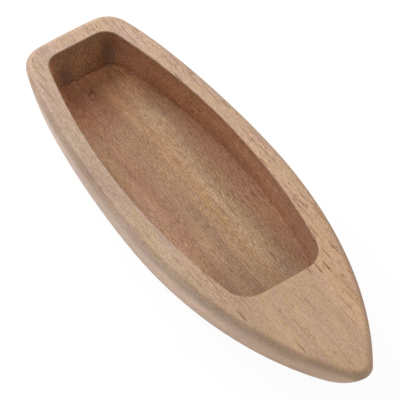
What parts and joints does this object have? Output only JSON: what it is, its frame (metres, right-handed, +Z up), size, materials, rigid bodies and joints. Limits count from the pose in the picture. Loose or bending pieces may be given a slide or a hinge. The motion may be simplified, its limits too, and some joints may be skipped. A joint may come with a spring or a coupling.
{
  "type": "incense burner",
  "caption": "Boat-shaped incense burner carved from a block of wood: squared stern, pointed bow with a flat deck, and a deep basin that holds incense and catches its ash.",
  "frame": {"origin": "on the surface that the feet stand on, under the middle of the hull's length", "axes": "+X to the bow, +Y to port, +Z up"},
  "size_m": [0.1797, 0.061, 0.0215],
  "materials": {
    "carved_wood": "sanded, unvarnished",
    "cork": "fine-grained cork"
  },
  "bodies": {
    "root": {"hull": "carved_wood", "cork_foot_stern_port": "cork", "cork_foot_stern_starboard": "cork", "cork_foot_bow_port": "cork", "cork_foot_bow_starboard": "cork"}
  },
  "joints": []
}
